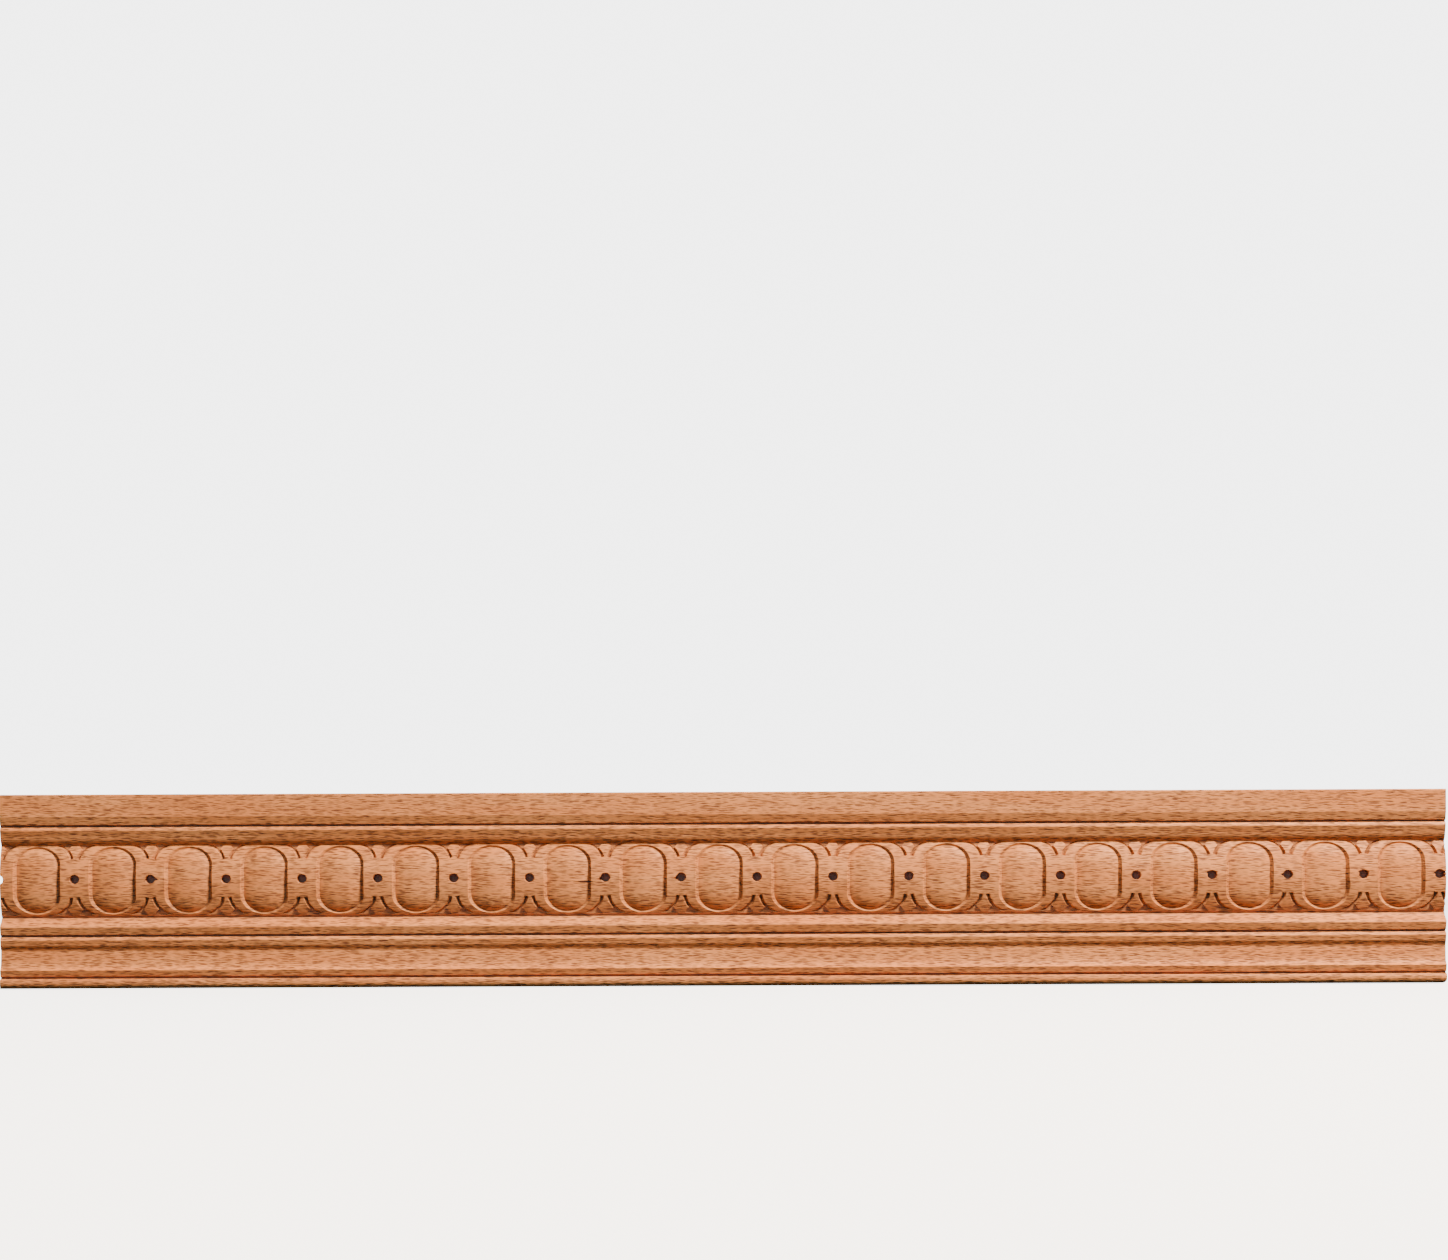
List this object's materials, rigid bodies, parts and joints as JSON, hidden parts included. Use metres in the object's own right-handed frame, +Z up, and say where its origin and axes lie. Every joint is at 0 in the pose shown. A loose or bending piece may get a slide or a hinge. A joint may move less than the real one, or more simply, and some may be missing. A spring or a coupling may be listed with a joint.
{
  "type": "wooden moulding strip",
  "caption": "Straight flat-backed beech moulding strip, its face carved with an egg and dart band between a plain fillet, small beads, an ogee and a cove.",
  "frame": {"origin": "centre of the flat back face, halfway along the strip and halfway up its width", "axes": "+X along the strip, +Y out of the flat back into what it is fixed to, so the carved face looks along -Y, and +Z up across the strip towards its plain flat band"},
  "size_m": [0.4472, 0.008, 0.06],
  "materials": {
    "beech": "bare sanded beech, salmon-tan with short brown ray flecks along the grain"
  },
  "bodies": {
    "root": {"moulding_strip": "beech"}
  },
  "joints": []
}
